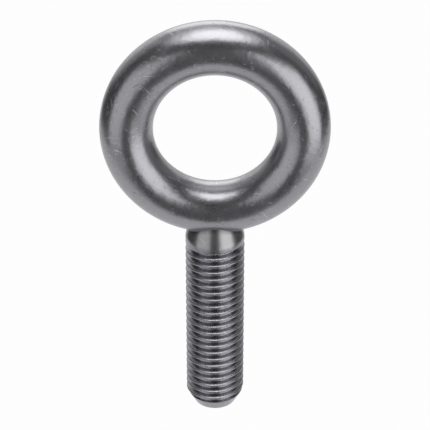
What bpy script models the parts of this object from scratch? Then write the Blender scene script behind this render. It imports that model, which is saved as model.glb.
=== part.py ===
"""Plain-pattern lifting eye bolt: a round-bar eye welded to a fully threaded stud.

Metres, +Z up. The shank's axis is Z and the hole of the eye runs along Y. The origin is on the shank's
axis, at the height of the eye's lowest point, from which the shank's length is measured.
"""

import math

import bmesh
import bpy
from mathutils import Matrix

# Driving dimensions
BAR_RADIUS = 0.00825  # round bar of the eye
EYE_RADIUS = 0.0273  # middle of the hole to the middle of the bar: a hole of 38.1 mm
PITCH = 0.00254  # ten threads to the inch
SHANK_RADIUS = 0.009425  # the thread's crest, and the plain neck above it
ROOT_RADIUS = 0.00798
FLANK_ANGLE = math.radians(30)  # each side of the groove
CREST_WIDTH = 0.00046  # between neighbouring grooves
GROOVE_AT_FRONT = -0.00487  # height of the first groove's middle, on the shank's -Y side
RUN_OUT_SWEEP = math.radians(110)  # the turn, from +X on, over which the groove rises out of the shank
TAPER_FROM = -0.0025  # height where the plain neck starts to narrow
TAPER_ROUND = 0.0052  # radius that leads from the neck into its taper
TAPER_ANGLE = math.radians(20)
WELD_FROM = -0.0017  # lowest edge of the weld on the neck's surface
NOSE_RADIUS = 0.006  # core of the stud inside the weld
POINT_FROM = -0.06024  # height where the cone of the point starts
POINT_END = -0.06517
POINT_RADIUS = 0.00668
POINT_ROUND = 0.0004
GAP = 0.0003  # between neighbouring pieces

# Blanks and cutters, which reach beyond the finished pieces
COPE_TOP = 0.006  # height, inside the bar, where blanks end before they are coped to it
ROD_TOP = 0.025
ROD_BOTTOM = -0.090
PLAIN_TURNS = 2  # of the rod, above the start of the run-out

# Fineness of the meshes
RING_SIDES = (84, 28)  # along the eye, around its bar
THREAD_SIDES = 36  # steps in each turn
WELD_SIDES = 60
BEND_STEPS = 4
POINT_STEPS = 3
SHARP_ANGLE = math.radians(30)
MERGE_DISTANCE = 0.000005


def clear_scene():
    for item in list(bpy.data.objects):
        bpy.data.objects.remove(item)
    for group in list(bpy.data.collections):
        bpy.data.collections.remove(group)


def new_collection(name):
    group = bpy.data.collections.new(name)
    bpy.context.scene.collection.children.link(group)
    return group


def steel(name, colour, roughness):
    made = bpy.data.materials.new(name)
    made.use_nodes = True
    shader = made.node_tree.nodes["Principled BSDF"]
    shader.inputs["Base Color"].default_value = (*colour, 1)
    shader.inputs["Roughness"].default_value = roughness
    shader.inputs["Metallic"].default_value = 1
    return made


def place(mesh, name, group, material=None):
    """An object of the mesh, smooth apart from its corners. Without a material it is a cutter."""
    mesh.shade_smooth()
    mesh.set_sharp_from_angle(angle=SHARP_ANGLE)
    made = bpy.data.objects.new(name, mesh)
    group.objects.link(made)
    if material:
        mesh.materials.append(material)
    else:
        made.hide_render = True
        made.display_type = "WIRE"
    return made


def combine(piece, operation, cutter):
    change = piece.modifiers.new("by_" + cutter.name, "BOOLEAN")
    change.operation = operation
    change.solver = "EXACT"
    change.object = cutter


def spun(name, outline, sides, closed=False, rise=0.0, turns=1):
    """The surface that an outline of (radius, height) points sweeps about Z, climbing by rise each turn."""
    count = len(outline)
    links = [(i, (i + 1) % count) for i in range(count if closed else count - 1)]
    profile = bpy.data.meshes.new(name)
    profile.from_pydata([(radius, 0, height) for radius, height in outline], links, [])
    source = bpy.data.objects.new(name, profile)
    bpy.context.scene.collection.objects.link(source)
    screw = source.modifiers.new("turn", "SCREW")
    screw.axis = "Z"
    screw.steps = screw.render_steps = sides
    screw.screw_offset = rise
    screw.iterations = turns
    screw.use_merge_vertices = rise == 0
    screw.merge_threshold = MERGE_DISTANCE
    graph = bpy.context.evaluated_depsgraph_get()
    made = bpy.data.meshes.new_from_object(source.evaluated_get(graph))
    made.name = name
    bpy.data.objects.remove(source)
    return made


def arc(centre, radius, start, end, steps):
    """Points of a circle's arc between two angles."""
    angles = [start + (end - start) * i / steps for i in range(steps + 1)]
    return [(centre[0] + radius * math.cos(a), centre[1] + radius * math.sin(a)) for a in angles]


def neck_bend():
    """The neck's outline on the bend that leads into its taper, from the taper down to the weld's edge."""
    bottom_angle = math.asin((WELD_FROM - TAPER_FROM) / TAPER_ROUND)
    centre = (SHANK_RADIUS - TAPER_ROUND, TAPER_FROM)
    return arc(centre, TAPER_ROUND, TAPER_ANGLE, bottom_angle, BEND_STEPS)


def bevel_height(radius):
    """Height of the stud's bevel under the weld, which falls from the nose to the neck's surface."""
    return -GAP + WELD_FROM * (radius - NOSE_RADIUS) / (SHANK_RADIUS - NOSE_RADIUS)


def point_outline(outside):
    """The shank's lower end, from a radius on the line of its cone, round its edge, to the axis."""
    slope = math.atan2(SHANK_RADIUS - POINT_RADIUS, POINT_FROM - POINT_END)
    start = POINT_FROM + (outside - SHANK_RADIUS) / math.tan(slope)
    reach = POINT_ROUND * math.tan((math.pi / 2 - slope) / 2)
    centre = (POINT_RADIUS - reach, POINT_END + POINT_ROUND)
    rounded = arc(centre, POINT_ROUND, -slope, -math.pi / 2, POINT_STEPS)
    return [(outside, start), *rounded, (0, POINT_END)]


def stud_envelope():
    """What the threaded rod is turned down to: nose and weld bevel above, chamfered point below."""
    outside = SHANK_RADIUS + GAP
    outline = [
        (0, COPE_TOP),
        (NOSE_RADIUS, COPE_TOP),
        (NOSE_RADIUS, bevel_height(NOSE_RADIUS)),
        (outside, bevel_height(outside)),
        *point_outline(outside),
    ]
    return spun("stud_envelope", outline, WELD_SIDES)


def thread_outline(middle):
    """One pitch of the thread's outline, about the middle of a groove, from a crest down to the next."""
    depth = SHANK_RADIUS - ROOT_RADIUS
    groove_half = (PITCH - CREST_WIDTH) / 2
    root_half = groove_half - depth * math.tan(FLANK_ANGLE)
    corners = [
        (SHANK_RADIUS, PITCH - groove_half),
        (SHANK_RADIUS, groove_half),
        (ROOT_RADIUS, root_half),
        (ROOT_RADIUS, -root_half),
        (SHANK_RADIUS, -groove_half),
    ]
    return [(radius, middle + height) for radius, height in corners]


def run_out(work, first_step, corners):
    """Brings the thread's root out to the neck over the run-out, and keeps it there above."""
    for vertex in work.verts:
        beyond = (vertex.index // corners - first_step) * math.tau / THREAD_SIDES
        share = min(max(beyond / RUN_OUT_SWEEP, 0), 1)
        radius = vertex.co.xy.length
        vertex.co.xy *= 1 + (SHANK_RADIUS / radius - 1) * share


def close_end(work, edges, apex):
    """Closes an open end with a cone to a point on the axis, at the height of apex."""
    made = bmesh.ops.extrude_edge_only(work, edges=edges)["geom"]
    tip = [item for item in made if isinstance(item, bmesh.types.BMVert)]
    bmesh.ops.pointmerge(work, verts=tip, merge_co=(0, 0, apex))


def threaded_rod():
    """A closed rod with the thread, its run-out and the plain neck, longer than the stud at both ends."""
    threaded_turns = math.ceil((GROOVE_AT_FRONT - POINT_END) / PITCH) + 1
    run_out_height = GROOVE_AT_FRONT + PITCH / 4  # a quarter of a turn on from the front
    section = thread_outline(run_out_height - threaded_turns * PITCH)
    turns = threaded_turns + PLAIN_TURNS
    mesh = spun("threaded_stud", section, THREAD_SIDES, rise=PITCH, turns=turns)
    work = bmesh.new()
    work.from_mesh(mesh)
    run_out(work, threaded_turns * THREAD_SIDES, len(section))
    bmesh.ops.remove_doubles(work, verts=work.verts[:], dist=MERGE_DISTANCE)
    rims = [edge for edge in work.edges if edge.is_boundary]
    half_way = run_out_height - threaded_turns * PITCH / 2
    close_end(work, [edge for edge in rims if edge.verts[0].co.z > half_way], ROD_TOP)
    close_end(work, [edge for edge in rims if edge.verts[0].co.z < half_way], ROD_BOTTOM)
    bmesh.ops.recalc_face_normals(work, faces=work.faces[:])
    work.to_mesh(mesh)
    work.free()
    return mesh


def bar_ring(name, bar_radius):
    """A closed ring of round bar about the middle of the eye, standing upright across Y."""
    bpy.ops.mesh.primitive_torus_add(
        major_segments=RING_SIDES[0],
        minor_segments=RING_SIDES[1],
        major_radius=EYE_RADIUS,
        minor_radius=bar_radius,
    )
    made = bpy.context.object
    mesh = made.data
    mesh.name = name
    bpy.data.objects.remove(made)
    middle = Matrix.Translation((0, 0, EYE_RADIUS + BAR_RADIUS))
    mesh.transform(middle @ Matrix.Rotation(math.pi / 2, 4, "X"))
    return mesh


def weld_blank():
    """The weld before it is coped: a collar around the nose, dressed outside to the neck's taper."""
    bend = neck_bend()
    radius, height = bend[0]
    top_radius = radius - (COPE_TOP - height) * math.tan(TAPER_ANGLE)
    inner = NOSE_RADIUS + GAP
    outline = [(top_radius, COPE_TOP), *bend, (inner, bevel_height(inner) + GAP), (inner, COPE_TOP)]
    return spun("weld_blank", outline, WELD_SIDES, closed=True)


def build():
    clear_scene()
    parts = new_collection("eye_bolt")
    cutters = new_collection("cutters")
    cope = place(bar_ring("bar_cope", BAR_RADIUS + GAP), "bar_cope", cutters)
    envelope = place(stud_envelope(), "stud_envelope", cutters)

    place(bar_ring("eye_ring", BAR_RADIUS), "eye_ring", parts, steel("eye_steel", (0.42, 0.42, 0.44), 0.28))
    stud = place(threaded_rod(), "threaded_stud", parts, steel("stud_steel", (0.40, 0.40, 0.42), 0.32))
    combine(stud, "INTERSECT", envelope)
    combine(stud, "DIFFERENCE", cope)
    weld = place(weld_blank(), "weld_bead", parts, steel("weld_steel", (0.38, 0.38, 0.40), 0.34))
    combine(weld, "DIFFERENCE", cope)


build()
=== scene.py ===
"""Looks of the lifting eye bolt: fine meshes over the CAD frame, dark satin steel, and a soft studio.

Metres, +Z up, in the CAD's frame: the shank's axis is Z, the eye's hole runs along Y, and the front is -Y.
"""

import math

import bmesh
import bpy
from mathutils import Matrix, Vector


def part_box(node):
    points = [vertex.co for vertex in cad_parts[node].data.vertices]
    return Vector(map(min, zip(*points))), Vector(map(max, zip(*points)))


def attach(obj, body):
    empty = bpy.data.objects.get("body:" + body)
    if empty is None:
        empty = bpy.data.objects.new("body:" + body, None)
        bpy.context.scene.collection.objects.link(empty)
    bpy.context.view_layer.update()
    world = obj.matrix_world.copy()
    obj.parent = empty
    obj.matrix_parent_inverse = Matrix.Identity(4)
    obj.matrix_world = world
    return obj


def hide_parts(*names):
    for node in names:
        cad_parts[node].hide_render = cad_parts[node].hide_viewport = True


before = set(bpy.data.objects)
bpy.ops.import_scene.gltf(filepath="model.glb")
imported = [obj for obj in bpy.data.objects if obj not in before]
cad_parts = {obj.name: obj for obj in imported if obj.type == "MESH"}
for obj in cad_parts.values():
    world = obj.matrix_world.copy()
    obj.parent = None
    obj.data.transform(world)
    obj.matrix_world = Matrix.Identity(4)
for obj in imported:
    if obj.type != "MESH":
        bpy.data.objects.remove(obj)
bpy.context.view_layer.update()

# Sizes from the frame
EYE_LOW, EYE_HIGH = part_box("eye_ring")
STUD_LOW, STUD_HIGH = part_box("threaded_stud")
BAR_RADIUS = (EYE_HIGH.y - EYE_LOW.y) / 2
EYE_RADIUS = (EYE_HIGH.x - EYE_LOW.x) / 2 - BAR_RADIUS
EYE_HEIGHT = (EYE_HIGH.z + EYE_LOW.z) / 2
SHANK_RADIUS = (STUD_HIGH.x - STUD_LOW.x) / 2
POINT_END = STUD_LOW.z

# Sizes of the thread, the neck and the point, as in the CAD
PITCH = 0.00254
THREAD_DEPTH = 0.001445
FLANK_ANGLE = math.radians(30)  # each side of the groove
GROOVE_AT_FRONT = -0.00487  # height of the first groove's middle, on the shank's -Y side
RUN_OUT_SWEEP = math.radians(110)  # the turn, from +X on, over which the groove rises out of the shank
TAPER_FROM = -0.0025  # height where the plain neck starts to narrow
TAPER_ROUND = 0.0052  # radius that leads from the neck into its taper
TAPER_ANGLE = math.radians(20)
WELD_FROM = -0.0017  # lowest edge of the weld on the neck's surface
NOSE_RADIUS = 0.006  # core of the stud inside the weld
POINT_FROM = -0.06024  # height where the cone of the point starts
POINT_RADIUS = 0.00668
POINT_ROUND = 0.0004
GAP = 0.0003  # between neighbouring pieces, where it is out of sight

# Shapes that only these meshes have
ROOT_ROUND = 0.00036  # radius of the thread's root, tangent to both flanks
CREST_ROUND = 0.00034  # radius of each edge of the crest
WELD_SINK = 0.0001  # how far the weld runs into the bar
WELD_FOOT = 0.0004  # from the seam down the neck to the foot of the weld's roll
WELD_HEAD = 0.0006  # from the seam out along the bar to its head
WELD_BULGE = 0.35  # height of the roll over its chord, as a share of the seam's depth under the chord
BAND_TOP = TAPER_FROM + 0.0001  # where the threaded band ends and the neck goes on

# Blanks, which reach beyond the finished pieces
APEX_HEIGHT = POINT_END - 3 * PITCH  # of the cone that closes the threaded band below
ENVELOPE_RADIUS = SHANK_RADIUS + 0.002
ENVELOPE_TOP = 0.02

# Fineness of the meshes
COLUMNS = 120  # steps round the shank
RING_SIDES = (288, 96)  # along the eye, around its bar
ENVELOPE_SIDES = COLUMNS + 24  # so that the envelope's edges don't run along the stud's
ROOT_STEPS = 5
FLANK_STEPS = 3
CREST_STEPS = 4
LEAST_OFFSET = 0.000008  # between neighbouring points of the thread where its groove has run out
NECK_STEPS = 3
NOSE_STEPS = 4
WELD_BEND_STEPS = 4
WELD_TAPER_STEPS = 10
WELD_TOP_STEPS = 3
ROLL_STEPS = 6
POINT_STEPS = 6
SEAM_LIMIT = 0.012  # how far up the taper the seam is looked for
SEAM_HALVINGS = 40
SLOPE_STEP = 0.00001  # over which the bar's slope is measured
SHARP_ANGLE = math.radians(25)
RUN_OUT_STEPS = round(RUN_OUT_SWEEP / math.tau * COLUMNS)
THREADED_TURNS = math.ceil((GROOVE_AT_FRONT - POINT_END) / PITCH) + 1  # below the run-out

# Steel
EYE_COLOUR = (0.300, 0.298, 0.317)
NECK_COLOUR = (0.300, 0.297, 0.309)
# Darker than the neck: partly the cut thread's own tone, partly painted shade for its grooves
THREAD_COLOUR_AND_SHADE = (0.268, 0.267, 0.290)
ROUGHNESS = 0.30
THREAD_ROUGHNESS = -0.025  # added below the neck
EYE_SCRATCHES = 0.12  # share of the cells that hold a scratch
CUT_SCRATCHES = 0.03  # the same on the stud and the weld
CUT_GRAIN = 0.25  # strength of the grain and the waves on the stud and the weld, against 1 on the eye
NECK_BLEND = 0.001  # height over which the thread's finish gives way to the neck's
# Painted shade in the crease between weld and bar: the weld's colour darkens over this width, down to this
# share
PAINTED_SHADE_WIDTH = 0.0018
PAINTED_CREASE_SHADE = 0.5

# Patterns of the steel: sizes
CLOUD_SIZE = 0.009
WAVE_SIZE = 0.0040
GRAIN_SIZE = 0.00045
STREAK_SLOPE = math.radians(50)  # how steeply the die's marks fall towards the right of the front
STREAK_WIDTH = 0.0008
STREAK_SQUEEZE = 0.1  # width of a streak as a share of its length
PATCH_SIZE = 0.016  # of the places with more and with fewer scratches
PATCH_DENSITY = (0.3, 1.9)  # fewest and most scratches, as shares of a material's own
SCRATCH_KINDS = (  # spacing, width, and how far the pattern is shifted so that the kinds don't coincide
    (0.0036, 0.00015, 0.3),
    (0.0018, 0.00012, 0.7),
    (0.0009, 0.00012, 1.1),
)
SCRATCH_ENDS = (0.2, 0.5)  # where each half of a scratch starts to fade and ends, in spacings
DARK_SHARE = 0.4  # of the scratches, which are darker than the steel and not lighter
DARK_TONE = -0.5  # against 1 for the light ones

# Patterns of the steel: what each adds, where it is at its strongest
CLOUD_ROUGHNESS = 0.025
GRAIN_ROUGHNESS = 0.02
SCRATCH_ROUGHNESS = 0.22
CLOUD_SHADE = 0.04
GRAIN_SHADE = 0.07
SCRATCH_SHADE = 0.75
STREAK_SHADE = 0.10
WAVE_HEIGHT = 0.00002
GRAIN_HEIGHT = 0.000001
SCRATCH_HEIGHT = -0.000006
STREAK_HEIGHT = 0.0000006

# Studio
STUDIO_CENTRE = Vector((0, 0, EYE_HEIGHT))
LIGHT_DISTANCE = 1.5
FLOOR_HEIGHT = EYE_HEIGHT - 0.5
CARD_RADIUS = 1.04  # of the floor that shows in reflections
CARD_BACK = 0.54  # how far its middle lies behind the shank
CARD_GLOW = 0.95
BACKDROP_RADIUS = 3.0
BACKDROP_DROP = 0.01  # of the floor that the camera sees, under the other one
BACKDROP_SINK = 0.3  # how far the dome's foot lies under the reflected floor
BACKDROP_GLOW = 0.985
RIM_TOLERANCE = 0.001
DISC_SIDES = 96
DOME_SIDES = (64, 32)
WORLD_GLOW = 0.1

# Camera, from a fit to the outlines in the photograph
CAMERA_TARGET = Vector((0, 0, 0.00514))
CAMERA_DISTANCE = 0.54564
CAMERA_ELEVATION = 29.923  # degrees
CAMERA_ANGLE = math.radians(14.183)
SENSOR_WIDTH = 36  # millimetres


# Meshes


def smooth(mesh):
    """Shades a mesh smooth apart from its corners."""
    mesh.shade_smooth()
    mesh.set_sharp_from_angle(angle=SHARP_ANGLE)


def new_object(name, work):
    """An object of the finished bmesh."""
    bmesh.ops.recalc_face_normals(work, faces=work.faces[:])
    mesh = bpy.data.meshes.new(name)
    work.to_mesh(mesh)
    work.free()
    made = bpy.data.objects.new(name, mesh)
    bpy.context.scene.collection.objects.link(made)
    return made


def piece(name, work, material, node):
    """An object of the finished bmesh that stands for a CAD node."""
    made = new_object(name, work)
    smooth(made.data)
    made.data.materials.append(material)
    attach(made, "root")
    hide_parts(node)
    return made


def at(radius, angle, height):
    return (radius * math.cos(angle), radius * math.sin(angle), height)


def column_angle(column):
    return math.tau * column / COLUMNS


def arc(centre, radius, start, end, steps):
    """Points of a circle's arc between two angles."""
    angles = [start + (end - start) * i / steps for i in range(steps + 1)]
    return [(centre[0] + radius * math.cos(a), centre[1] + radius * math.sin(a)) for a in angles]


def skin(work, rows, loop=True):
    """Quads between neighbouring rows of vertices, each row a closed circle when loop is set."""
    for lower, upper in zip(rows, rows[1:]):
        count = len(lower)
        for i in range(count if loop else count - 1):
            j = (i + 1) % count
            work.faces.new((lower[i], lower[j], upper[j], upper[i]))


def fan(work, rim, apex):
    """Triangles between neighbouring vertices of a rim and its apex."""
    for a, b in zip(rim, rim[1:]):
        work.faces.new((a, b, apex))


def eye_ring():
    """A closed ring of round bar, upright across Y."""
    work = bmesh.new()
    rows = []
    for i in range(RING_SIDES[0]):
        along = math.tau * i / RING_SIDES[0]
        row = []
        for j in range(RING_SIDES[1]):
            around = math.tau * j / RING_SIDES[1]
            out = EYE_RADIUS + BAR_RADIUS * math.cos(around)
            across = BAR_RADIUS * math.sin(around)
            spot = (out * math.cos(along), across, EYE_HEIGHT + out * math.sin(along))
            row.append(work.verts.new(spot))
        rows.append(row)
    skin(work, [*rows, rows[0]])
    return work


# Threaded stud


def groove_rise(offset):
    """How far the groove's surface lies above its deepest line, at an offset along the shank."""
    tangent = ROOT_ROUND * math.cos(FLANK_ANGLE)
    if offset <= tangent:
        return ROOT_ROUND - math.sqrt(ROOT_ROUND**2 - offset**2)
    return ROOT_ROUND * (1 - math.sin(FLANK_ANGLE)) + (offset - tangent) / math.tan(FLANK_ANGLE)


def groove_offset(rise):
    """The offset at which the groove's surface has risen that far: the inverse of groove_rise."""
    tangent_rise = ROOT_ROUND * (1 - math.sin(FLANK_ANGLE))
    if rise <= tangent_rise:
        return math.sqrt(max(ROOT_ROUND**2 - (ROOT_ROUND - rise) ** 2, 0))
    return ROOT_ROUND * math.cos(FLANK_ANGLE) + (rise - tangent_rise) * math.tan(FLANK_ANGLE)


def half_groove(depth):
    """(offset, drop) points of a groove of some depth, from its deepest line out to the plain crest."""
    share = depth / THREAD_DEPTH
    round_turn = math.pi / 2 - FLANK_ANGLE
    flank_start = ROOT_ROUND * (1 - math.sin(FLANK_ANGLE)) * share
    flank_end = depth - CREST_ROUND * (1 - math.sin(FLANK_ANGLE)) * share
    root_angles = [round_turn * i / ROOT_STEPS for i in range(ROOT_STEPS + 1)]
    rises = [groove_rise(ROOT_ROUND * math.sin(angle)) * share for angle in root_angles]
    rises += [flank_start + (flank_end - flank_start) * i / FLANK_STEPS for i in range(1, FLANK_STEPS + 1)]
    points = [(max(groove_offset(rise), LEAST_OFFSET * i), depth - rise) for i, rise in enumerate(rises)]
    edge_start = points[-1][0]
    for i in range(1, CREST_STEPS + 1):
        angle = round_turn * (1 - i / CREST_STEPS)
        out = CREST_ROUND * (math.cos(FLANK_ANGLE) - math.sin(angle))
        points.append((edge_start + out, CREST_ROUND * (1 - math.cos(angle)) * share))
    points.append((points[-1][0] + LEAST_OFFSET, 0.0))
    return points


def section(step):
    """(radius, height) points of one pitch at a step of the helix, from the crest below to the crest above.

    The run-out starts at step 0, on the shank's +X side. On the last turn the crest reaches up to the neck.
    """
    beyond = max(step, 0) / RUN_OUT_STEPS
    fade = beyond * beyond * (3 - 2 * beyond)
    half = half_groove(THREAD_DEPTH * (1 - fade))
    middle = GROOVE_AT_FRONT + PITCH * (column_angle(step) + math.pi / 2) / math.tau
    lower = [(SHANK_RADIUS - drop, middle - offset) for offset, drop in reversed(half)]
    upper = [(SHANK_RADIUS - drop, middle + offset) for offset, drop in half[1:]]
    crest_above = BAND_TOP if step > RUN_OUT_STEPS - COLUMNS else middle + PITCH / 2
    return [(SHANK_RADIUS, middle - PITCH / 2), *lower, *upper, (SHANK_RADIUS, crest_above)]


def threaded_band(work):
    """The thread and its run-out, closed below. Returns the circle of vertices where the neck goes on."""
    rows = []
    for step in range(-THREADED_TURNS * COLUMNS, RUN_OUT_STEPS + 1):
        foot, *others = [at(radius, column_angle(step), height) for radius, height in section(step)]
        crest_below = rows[-COLUMNS][-1] if len(rows) >= COLUMNS else work.verts.new(foot)
        rows.append([crest_below, *[work.verts.new(point) for point in others]])
    skin(work, rows, loop=False)
    # One face closes the column between the last row and the first row that reaches up to the neck
    end = rows[-1]
    work.faces.new((end[0], rows[-COLUMNS][-1], *reversed(end[1:])))
    apex = work.verts.new((0, 0, APEX_HEIGHT))
    fan(work, [row[0] for row in rows[: COLUMNS + 1]], apex)
    fan(work, rows[0], apex)
    return [row[-1] for row in rows[-COLUMNS:]]


def bend_angle(height):
    """How far round the neck's bend a height on it lies."""
    return math.asin((height - TAPER_FROM) / TAPER_ROUND)


def neck_bend(start, end, steps):
    """(radius, height) points of the bend that leads from the neck into its taper, between two angles."""
    return arc((SHANK_RADIUS - TAPER_ROUND, TAPER_FROM), TAPER_ROUND, start, end, steps)


def coped(radius, angle, bar_radius):
    """The point of a ring of bar's lower side that lies at a radius and an angle from the shank's axis."""
    x, y, _ = at(radius, angle, 0)
    reach = EYE_RADIUS + math.sqrt(max(bar_radius**2 - y**2, 0))
    return (x, y, EYE_HEIGHT - math.sqrt(reach**2 - x**2))


def threaded_stud():
    """Thread, neck up to the weld's edge, bevel under the weld, and the nose inside it, coped to the bar."""
    work = bmesh.new()
    rows = [threaded_band(work)]
    angles = [column_angle(RUN_OUT_STEPS + 1 + i) for i in range(-COLUMNS, 0)]
    neck = neck_bend(bend_angle(BAND_TOP), bend_angle(WELD_FROM), NECK_STEPS)[1:]
    for radius, height in [*neck, (NOSE_RADIUS, -GAP)]:
        rows.append([work.verts.new(at(radius, angle, height)) for angle in angles])
    for i in range(NOSE_STEPS, 0, -1):
        radius = NOSE_RADIUS * i / NOSE_STEPS
        rows.append([work.verts.new(coped(radius, angle, BAR_RADIUS + GAP)) for angle in angles])
    skin(work, rows)
    fan(work, [*rows[-1], rows[-1][0]], work.verts.new(coped(0, 0, BAR_RADIUS + GAP)))
    return work


def point_envelope():
    """What the stud's lower end is turned down to: a cylinder with a cone and a rounded edge below."""
    slope = math.atan2(SHANK_RADIUS - POINT_RADIUS, POINT_FROM - POINT_END)
    start = POINT_FROM + (ENVELOPE_RADIUS - SHANK_RADIUS) / math.tan(slope)
    reach = POINT_ROUND * math.tan((math.pi / 2 - slope) / 2)
    centre = (POINT_RADIUS - reach, POINT_END + POINT_ROUND)
    rounded = arc(centre, POINT_ROUND, -slope, -math.pi / 2, POINT_STEPS)
    angles = [math.tau * (i + 0.5) / ENVELOPE_SIDES for i in range(ENVELOPE_SIDES)]
    work = bmesh.new()
    rows = []
    for radius, height in [(ENVELOPE_RADIUS, ENVELOPE_TOP), (ENVELOPE_RADIUS, start), *rounded]:
        rows.append([work.verts.new(at(radius, angle, height)) for angle in angles])
    skin(work, rows)
    work.faces.new(rows[0])
    work.faces.new(rows[-1])
    return work


def cut_point(stud):
    """Cuts the stud's lower end to its chamfered point."""
    envelope = new_object("point_envelope", point_envelope())
    change = stud.modifiers.new("point", "BOOLEAN")
    change.operation = "INTERSECT"
    change.solver = "EXACT"
    change.object = envelope
    graph = bpy.context.evaluated_depsgraph_get()
    stud_mesh = bpy.data.meshes.new_from_object(stud.evaluated_get(graph))
    stud_mesh.name = stud.name
    stud.modifiers.clear()
    stud.data = stud_mesh
    smooth(stud_mesh)
    bpy.data.objects.remove(envelope)


# Weld


def up_taper(angle, start, distance):
    """A point of the neck's surface, some way up the taper from its start."""
    radius, height = start
    return at(radius - distance * math.sin(TAPER_ANGLE), angle, height + distance * math.cos(TAPER_ANGLE))


def seam(angle, start, bar_radius):
    """How far up the taper from its start the neck meets the bar, on one side of the shank."""
    low, high = 0.0, SEAM_LIMIT
    for _ in range(SEAM_HALVINGS):
        middle = (low + high) / 2
        x, y, z = up_taper(angle, start, middle)
        inside = math.hypot(math.hypot(x, z - EYE_HEIGHT) - EYE_RADIUS, y) < bar_radius
        low, high = (low, middle) if inside else (middle, high)
    return (low + high) / 2


def head_reach(angle, radius):
    """How far outwards in the ground plan the weld's head lies from the seam."""
    near, far = (coped(r, angle, BAR_RADIUS)[2] for r in (radius, radius + SLOPE_STEP))
    return WELD_HEAD / math.hypot(1, (far - near) / SLOPE_STEP)


def roll(foot, corner, head):
    """Points of the weld's convex roll, which covers the corner between neck and bar."""
    foot, corner, head = Vector(foot), Vector(corner), Vector(head)
    middle = (foot + head) / 2
    crown = middle + (middle - corner) * 2 * WELD_BULGE
    shares = [i / ROLL_STEPS for i in range(1, ROLL_STEPS + 1)]
    return [foot * (1 - share) ** 2 + crown * 2 * share * (1 - share) + head * share**2 for share in shares]


def weld_bead():
    """A collar round the nose: dressed to the neck outside, run into the bar above, bevelled below."""
    work = bmesh.new()
    sunk = BAR_RADIUS - WELD_SINK
    bend = neck_bend(bend_angle(WELD_FROM), TAPER_ANGLE, WELD_BEND_STEPS)
    inner = NOSE_RADIUS + GAP
    bevel_top = WELD_FROM * (inner - NOSE_RADIUS) / (bend[0][0] - NOSE_RADIUS)
    rows = []
    for column in range(COLUMNS):
        angle = column_angle(column)
        length = seam(angle, bend[-1], sunk)
        corner = up_taper(angle, bend[-1], length)
        corner_radius = math.hypot(*corner[:2])
        edge = corner_radius + head_reach(angle, corner_radius)
        points = [at(radius, angle, height) for radius, height in bend]
        for i in range(1, WELD_TAPER_STEPS + 1):
            points.append(up_taper(angle, bend[-1], (length - WELD_FOOT) * i / WELD_TAPER_STEPS))
        points.extend(roll(points[-1], corner, coped(edge, angle, sunk)))
        for i in range(1, WELD_TOP_STEPS + 1):
            points.append(coped(edge + (inner - edge) * i / WELD_TOP_STEPS, angle, sunk))
        points.append(at(inner, angle, bevel_top))
        rows.append([work.verts.new(point) for point in points])
    skin(work, [*rows, rows[0]])
    return work


# Steel


class Wiring:
    """Adds nodes to a material and links them."""

    def __init__(self, material):
        self.nodes = material.node_tree.nodes
        self.links = material.node_tree.links

    def node(self, kind, inputs=None, **settings):
        made = self.nodes.new(kind)
        for setting, value in settings.items():
            setattr(made, setting, value)
        for socket, value in (inputs or {}).items():
            self.feed(made.inputs[socket], value)
        return made

    def feed(self, socket, value):
        """Links a socket to an output, or gives it a plain value."""
        if isinstance(value, bpy.types.NodeSocket):
            self.links.new(value, socket)
        else:
            socket.default_value = value

    def maths(self, operation, *values):
        made = self.node("ShaderNodeMath", dict(enumerate(values)), operation=operation)
        return made.outputs[0]

    def vector(self, operation, *values):
        made = self.node("ShaderNodeVectorMath", dict(enumerate(values)), operation=operation)
        return made.outputs["Value" if operation in ("DOT_PRODUCT", "LENGTH") else "Vector"]

    def total(self, start, *pairs):
        """The start plus the product of each pair of a value and its weight."""
        for value, weight in pairs:
            start = self.maths("MULTIPLY_ADD", value, weight, start)
        return start

    def split(self, point):
        return self.node("ShaderNodeSeparateXYZ", {"Vector": point}).outputs

    def joined(self, x, y):
        return self.node("ShaderNodeCombineXYZ", {"X": x, "Y": y}).outputs["Vector"]

    def ramp(self, value, start, end, low=0.0, high=1.0):
        """Goes smoothly from low to high while the value goes from start to end."""
        inputs = {"Value": value, "From Min": start, "From Max": end, "To Min": low, "To Max": high}
        return self.node("ShaderNodeMapRange", inputs, interpolation_type="SMOOTHSTEP").outputs["Result"]

    def noise(self, point, size, detail, low=-1.0, high=1.0):
        """Cloudy noise with features of a size. The middle half of its range is spread from low to high."""
        inputs = {"Vector": point, "Scale": 1 / size, "Detail": detail, "Roughness": 0.6}
        cloud = self.node("ShaderNodeTexNoise", inputs).outputs[0]
        return self.ramp(cloud, 0.25, 0.75, low, high)


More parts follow.
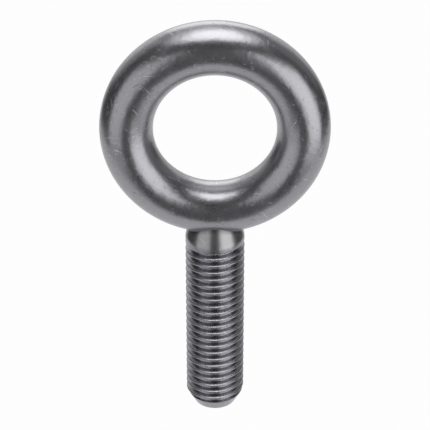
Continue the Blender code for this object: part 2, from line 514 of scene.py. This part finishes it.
def scratches(wires, point, normal, spacing, width, shift, share):
    """The mask and the tone of short straight scratches, one in a share of scattered cells."""
    moved = wires.vector("ADD", point, (shift, 2 * shift, -shift))
    cells = wires.node("ShaderNodeTexVoronoi", {"Vector": moved, "Scale": 1 / spacing})
    middle = cells.outputs["Position"]
    offset = wires.vector("SUBTRACT", moved, middle)
    chance = wires.vector("SUBTRACT", cells.outputs["Color"], (0.5, 0.5, 0.5))
    across = wires.vector("NORMALIZE", wires.vector("CROSS_PRODUCT", normal, chance))
    along = wires.vector("CROSS_PRODUCT", normal, across)
    sideways = wires.maths("ABSOLUTE", wires.vector("DOT_PRODUCT", offset, across))
    lengthways = wires.maths("ABSOLUTE", wires.vector("DOT_PRODUCT", offset, along))
    line = wires.ramp(sideways, width / 4, width, 1.0, 0.0)
    fade_from, fade_to = SCRATCH_ENDS
    ends = wires.ramp(lengthways, fade_from * spacing, fade_to * spacing, 1.0, 0.0)
    draw = wires.node("ShaderNodeTexWhiteNoise", {"Vector": middle}).outputs["Value"]
    chosen = wires.maths("LESS_THAN", draw, share)
    dark = wires.maths("LESS_THAN", draw, wires.maths("MULTIPLY", share, DARK_SHARE))
    mask = wires.maths("MULTIPLY", wires.maths("MULTIPLY", line, ends), chosen)
    return mask, wires.maths("MULTIPLY", mask, wires.total(1.0, (dark, DARK_TONE - 1.0)))


def all_scratches(wires, point, share):
    """The mask and the tone of all kinds of scratches, of which some places have more than others."""
    normal = wires.node("ShaderNodeNewGeometry").outputs["Normal"]
    fewest, most = PATCH_DENSITY
    density = wires.ramp(wires.noise(point, PATCH_SIZE, 1.0), -0.5, 1.0, fewest * share, most * share)
    mask, tone = 0.0, 0.0
    for kind in SCRATCH_KINDS:
        kind_mask, kind_tone = scratches(wires, point, normal, *kind, density)
        mask = wires.maths("MAXIMUM", mask, kind_mask)
        tone = wires.maths("ADD", tone, kind_tone)
    return mask, tone


def die_marks(wires, point):
    """Fine slanting streaks round the shank, as the die leaves them."""
    x, y, z = wires.split(point)
    turned = wires.maths("ARCTAN2", x, wires.maths("MULTIPLY", y, -1.0))
    around = wires.maths("MULTIPLY", turned, SHANK_RADIUS)
    sine, cosine = math.sin(STREAK_SLOPE), math.cos(STREAK_SLOPE)
    across = wires.total(0.0, (around, sine), (z, cosine))
    along = wires.total(0.0, (around, cosine * STREAK_SQUEEZE), (z, -sine * STREAK_SQUEEZE))
    return wires.noise(wires.joined(across, along), STREAK_WIDTH, 1.0)


def bar_distance(wires, point):
    """Distance from the surface of the eye's bar."""
    upright = wires.vector("MULTIPLY_ADD", point, (1, 0, 1), (0, 0, -EYE_HEIGHT))
    out = wires.maths("SUBTRACT", wires.vector("LENGTH", upright), EYE_RADIUS)
    from_core = wires.vector("LENGTH", wires.joined(out, wires.split(point)["Y"]))
    return wires.maths("ABSOLUTE", wires.maths("SUBTRACT", from_core, BAR_RADIUS))


def steel(name, colour, scratch_share, graininess=1.0, neck_colour=None, painted_crease_shade=False):
    """Dark satin steel: slightly wavy, grainy, with clouds of finer and coarser finish, and scratched.

    The scratch_share is the share of the cells that hold a scratch, and graininess goes for grain and waves.
    With a neck_colour it is the stud's, which has the die's marks and changes colour where the neck starts;
    the thread's colour below it is darker, partly as painted shade for the grooves.
    With the crease flag it is the weld's, whose colour darkens towards the eye's bar as painted shade in
    that crease.
    """
    made = bpy.data.materials.new(name)
    made.use_nodes = True
    wires = Wiring(made)
    point = wires.node("ShaderNodeTexCoord").outputs["Object"]
    clouds = wires.noise(point, CLOUD_SIZE, 3.0)
    waves = wires.noise(point, WAVE_SIZE, 2.0)
    grain = wires.noise(point, GRAIN_SIZE, 2.0, -graininess, graininess)
    marks, tone = all_scratches(wires, point, scratch_share)

    rough = wires.total(ROUGHNESS, (clouds, CLOUD_ROUGHNESS), (grain, GRAIN_ROUGHNESS))
    rough = wires.total(rough, (marks, SCRATCH_ROUGHNESS))
    shade = wires.total(1.0, (clouds, CLOUD_SHADE), (grain, GRAIN_SHADE), (tone, SCRATCH_SHADE))
    height = wires.total(0.0, (waves, WAVE_HEIGHT * graininess), (grain, GRAIN_HEIGHT))
    height = wires.total(height, (marks, SCRATCH_HEIGHT))
    tint = colour
    if neck_colour:
        streaks = die_marks(wires, point)
        shade = wires.maths("MULTIPLY", shade, wires.total(1.0, (streaks, STREAK_SHADE)))
        height = wires.total(height, (streaks, STREAK_HEIGHT))
        neck = wires.ramp(wires.split(point)["Z"], TAPER_FROM - NECK_BLEND, TAPER_FROM)
        rough = wires.total(rough, (wires.maths("SUBTRACT", 1.0, neck), THREAD_ROUGHNESS))
        change = [on_neck - on_thread for on_neck, on_thread in zip(neck_colour, colour)]
        tint = wires.vector("MULTIPLY_ADD", neck, change, colour)
    # Painted shade: the weld's colour darkens towards the eye's bar, where the crease lies
    if painted_crease_shade:
        dark = wires.ramp(bar_distance(wires, point), 0.0, PAINTED_SHADE_WIDTH, PAINTED_CREASE_SHADE, 1.0)
        shade = wires.maths("MULTIPLY", shade, dark)

    shader = wires.nodes["Principled BSDF"]
    bump = wires.node("ShaderNodeBump", {"Height": height, "Distance": 1.0, "Strength": 1.0})
    wires.feed(shader.inputs["Metallic"], 1)
    wires.feed(shader.inputs["Roughness"], rough)
    wires.feed(shader.inputs["Base Color"], wires.vector("MULTIPLY", tint, shade))
    wires.feed(shader.inputs["Normal"], bump.outputs["Normal"])
    return made


# Studio


def stage_mesh(name, work, strength, reflected=False):
    """A plain glowing surface of the studio, seen by the camera alone or in reflections alone."""
    mesh = bpy.data.meshes.new(name)
    work.to_mesh(mesh)
    work.free()
    made = bpy.data.objects.new(name, mesh)
    bpy.context.scene.collection.objects.link(made)
    material = bpy.data.materials.new(name)
    material.use_nodes = True
    nodes = material.node_tree.nodes
    nodes.remove(nodes["Principled BSDF"])
    glow = nodes.new("ShaderNodeEmission")
    glow.inputs["Color"].default_value = (1, 1, 1, 1)
    glow.inputs["Strength"].default_value = strength
    material.node_tree.links.new(glow.outputs["Emission"], nodes["Material Output"].inputs["Surface"])
    mesh.materials.append(material)
    made.visible_camera = not reflected
    made.visible_glossy = reflected
    made.visible_diffuse = False
    made.visible_shadow = False
    made.visible_transmission = False


def disc(radius, centre):
    work = bmesh.new()
    corners = [at(radius, math.tau * i / DISC_SIDES, 0) for i in range(DISC_SIDES)]
    work.faces.new([work.verts.new(Vector(corner) + Vector(centre)) for corner in corners])
    return work


def dome(radius, foot):
    """The upper half of a sphere, with its rim at a height."""
    work = bmesh.new()
    bmesh.ops.create_uvsphere(work, u_segments=DOME_SIDES[0], v_segments=DOME_SIDES[1], radius=radius)
    below_rim = [vertex for vertex in work.verts if vertex.co.z < -RIM_TOLERANCE]
    bmesh.ops.delete(work, geom=below_rim, context="VERTS")
    bmesh.ops.translate(work, verts=work.verts[:], vec=(0, 0, foot))
    return work


def direction(azimuth, elevation):
    """Unit vector towards an azimuth, from the front round to +X, and an elevation, in degrees."""
    a, e = math.radians(azimuth), math.radians(elevation)
    return Vector((math.sin(a) * math.cos(e), -math.cos(a) * math.cos(e), math.sin(e)))


def place(made, centre, towards, distance):
    """Puts a light or a camera at a distance from what it looks at."""
    bpy.context.scene.collection.objects.link(made)
    made.location = centre + towards * distance
    made.rotation_euler = (-towards).to_track_quat("-Z", "Y").to_euler()


def softbox(name, azimuth, elevation, half_width, half_height, radiance, round_shape=False):
    """An area light that reaches half_width by half_height degrees each way from its middle."""
    data = bpy.data.lights.new(name, "AREA")
    data.shape = "ELLIPSE" if round_shape else "RECTANGLE"
    data.size = 2 * LIGHT_DISTANCE * math.tan(math.radians(half_width))
    data.size_y = 2 * LIGHT_DISTANCE * math.tan(math.radians(half_height))
    area = data.size * data.size_y * (math.pi / 4 if round_shape else 1)
    data.energy = radiance * area * math.pi
    made = bpy.data.objects.new(name, data)
    place(made, STUDIO_CENTRE, direction(azimuth, elevation), LIGHT_DISTANCE)
    made.visible_camera = False


def studio():
    """Softboxes, a pale floor and wall for the camera, and a floor for the reflections."""
    softbox("key_right", 46, -4, 26.8, 27.5, 1.85)
    softbox("fill_left", -45.5, -4, 26.8, 28, 0.97)
    softbox("overhead_core", 5, 82, 23.5, 23.5, 2.1, round_shape=True)
    softbox("overhead_wide", 0, 89.5, 35, 35, 1.15, round_shape=True)
    softbox("back_sweep", 180, 4, 44, 36, 0.62)
    softbox("back_rim", 180, 28, 20, 16, 1.3)
    softbox("back_left", -149, 28, 35, 28, 0.4)
    softbox("back_right", 137, 28, 35, 28, 0.22)
    stage_mesh("floor", disc(BACKDROP_RADIUS, (0, 0, FLOOR_HEIGHT - BACKDROP_DROP)), BACKDROP_GLOW)
    stage_mesh("backdrop", dome(BACKDROP_RADIUS, FLOOR_HEIGHT - BACKDROP_SINK), BACKDROP_GLOW)
    stage_mesh("floor_card", disc(CARD_RADIUS, (0, CARD_BACK, FLOOR_HEIGHT)), CARD_GLOW, reflected=True)
    world = bpy.data.worlds.new("studio")
    world.use_nodes = True
    world.node_tree.nodes["Background"].inputs["Color"].default_value = (1, 1, 1, 1)
    world.node_tree.nodes["Background"].inputs["Strength"].default_value = WORLD_GLOW
    bpy.context.scene.world = world
    bpy.context.scene.view_settings.view_transform = "Standard"


def camera():
    data = bpy.data.cameras.new("camera")
    data.sensor_width = SENSOR_WIDTH
    data.angle = CAMERA_ANGLE
    made = bpy.data.objects.new("camera", data)
    place(made, CAMERA_TARGET, direction(0, CAMERA_ELEVATION), CAMERA_DISTANCE)
    bpy.context.scene.camera = made


camera()
studio()
eye = piece("eye", eye_ring(), steel("eye_steel", EYE_COLOUR, EYE_SCRATCHES), "eye_ring")
# The thread's colour holds painted shade for its grooves
stud_finish = steel("stud_steel", THREAD_COLOUR_AND_SHADE, CUT_SCRATCHES, CUT_GRAIN, neck_colour=NECK_COLOUR)
stud = piece("stud", threaded_stud(), stud_finish, "threaded_stud")
cut_point(stud)
# The weld's steel has painted shade towards the eye's bar
weld_finish = steel("weld_steel", NECK_COLOUR, CUT_SCRATCHES, CUT_GRAIN, painted_crease_shade=True)
weld = piece("weld", weld_bead(), weld_finish, "weld_bead")
